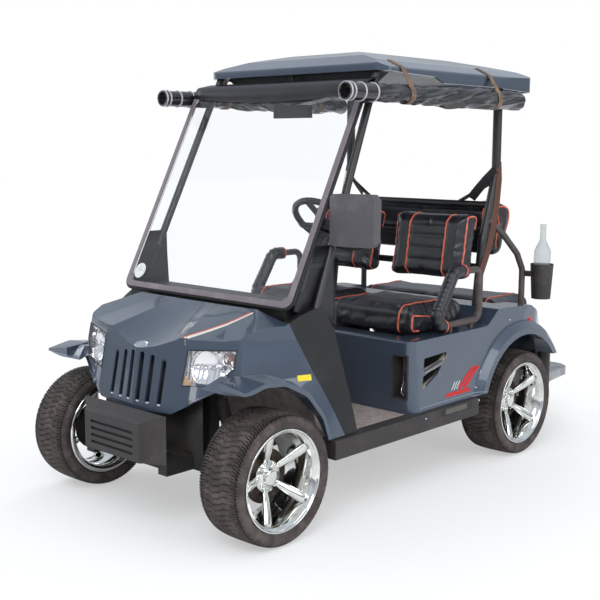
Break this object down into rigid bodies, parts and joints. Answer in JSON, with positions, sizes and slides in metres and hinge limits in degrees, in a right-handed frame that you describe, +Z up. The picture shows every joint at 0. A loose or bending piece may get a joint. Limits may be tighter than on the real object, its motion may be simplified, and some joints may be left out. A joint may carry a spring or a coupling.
{
  "type": "golf cart",
  "caption": "Electric golf cart with a rear-facing second bench, foot platform, roof and rolled side curtains; wheels spin, steering turns, seat lid lifts.",
  "frame": {"origin": "on the floor, halfway between the axles on the centre line", "axes": "+X forward, +Y to the driver's left, +Z up"},
  "size_m": [2.783, 1.3769, 1.8718],
  "materials": {
    "paint": "metallic gloss",
    "black_paint": "satin",
    "dark_plastic": "textured",
    "floor_mat": "ribbed",
    "chrome": "polished",
    "tyre": "matt",
    "vinyl": "satin vinyl",
    "curtain": "rolled vinyl",
    "piping": "sewn cord",
    "webbing": "woven",
    "steel": "satin",
    "aluminium": "tread plate",
    "glass": "clear",
    "lamp": "clear lens",
    "red_lens": "red lens",
    "bottle_plastic": "translucent",
    "battery": "moulded"
  },
  "bodies": {
    "chassis": {"front_cowl": "paint", "rear_body": "paint", "roof_canopy": "paint", "headlamps": "lamp", "tail_lamps": "red_lens", "pillar_covers": "black_paint", "front_struts": "black_paint", "rear_struts": "black_paint", "windshield_glass": "glass", "windshield_frame": "dark_plastic", "dash_panel": "dark_plastic", "floor_pan": "floor_mat", "rockers": "dark_plastic", "pedals": "steel", "steering_column": "dark_plastic", "front_bumper": "dark_plastic", "rear_bumper": "dark_plastic", "chassis_frame": "black_paint", "battery_pack": "battery", "front_axle": "black_paint", "front_shocks": "black_paint", "steering_box": "black_paint", "rear_axle": "black_paint", "leaf_springs": "black_paint", "rear_shocks": "black_paint", "recess_box": "dark_plastic", "foot_platform": "aluminium", "platform_arms": "black_paint", "front_backs": "vinyl", "rear_cushion": "vinyl", "rear_back": "vinyl", "hip_restraints": "steel", "hip_pads": "vinyl", "grab_rails": "steel", "bottle_holder": "dark_plastic", "bottle": "bottle_plastic", "roof_liner": "dark_plastic", "curtain_rolls": "curtain", "roll_straps": "webbing", "side_mirror": "dark_plastic", "cabin_mirror": "dark_plastic"},
    "steering_wheel": {"steering_wheel": "dark_plastic"},
    "knuckle_left": {"knuckle_left": "steel"},
    "knuckle_right": {"knuckle_right": "steel"},
    "tie_rod": {"tie_rod": "steel"},
    "seat_lid": {"front_cushions": "vinyl"},
    "wheel_front_left": {"tyre_front_left": "tyre", "rim_front_left": "chrome"},
    "wheel_front_right": {"tyre_front_right": "tyre", "rim_front_right": "chrome"},
    "wheel_rear_left": {"tyre_rear_left": "tyre", "rim_rear_left": "chrome"},
    "wheel_rear_right": {"tyre_rear_right": "tyre", "rim_rear_right": "chrome"}
  },
  "joints": [
    {"name": "steer_left", "type": "hinge", "parent": "chassis", "child": "knuckle_left", "pos_m": [0.8235, 0.475, 0.25], "axis": [0, 0, 1], "range_deg": [-25, 25]},
    {"name": "steer_right", "type": "hinge", "parent": "chassis", "child": "knuckle_right", "pos_m": [0.8235, -0.475, 0.25], "axis": [0, 0, 1], "range_deg": [-25, 25]},
    {"name": "rack_slide", "type": "slide", "parent": "chassis", "child": "tie_rod", "axis": [0, 1, 0], "range_m": [-0.0416, 0.0416]},
    {"name": "steering_wheel_turn", "type": "hinge", "parent": "chassis", "child": "steering_wheel", "pos_m": [0.18, 0.27, 1.135], "axis": [-0.6411, 0, 0.7674], "range_deg": [-351, 351]},
    {"name": "seat_lid_hinge", "type": "hinge", "parent": "chassis", "child": "seat_lid", "pos_m": [-0.078, 0, 0.6525], "axis": [0, 1, 0], "range_deg": [0, 65]},
    {"name": "spin_front_left", "type": "hinge", "parent": "knuckle_left", "child": "wheel_front_left", "pos_m": [0.8235, 0.528, 0.25], "axis": [0, 1, 0], "continuous": true},
    {"name": "spin_front_right", "type": "hinge", "parent": "knuckle_right", "child": "wheel_front_right", "pos_m": [0.8235, -0.528, 0.25], "axis": [0, 1, 0], "continuous": true},
    {"name": "spin_rear_left", "type": "hinge", "parent": "chassis", "child": "wheel_rear_left", "pos_m": [-0.8235, 0.528, 0.25], "axis": [0, 1, 0], "continuous": true},
    {"name": "spin_rear_right", "type": "hinge", "parent": "chassis", "child": "wheel_rear_right", "pos_m": [-0.8235, -0.528, 0.25], "axis": [0, 1, 0], "continuous": true}
  ],
  "couplings": [
    {"joint": "steer_right", "follows": "steer_left", "ratio": 1},
    {"joint": "rack_slide", "follows": "steer_left", "m_per_rad": -0.095},
    {"joint": "steering_wheel_turn", "follows": "steer_left", "ratio": 14}
  ]
}
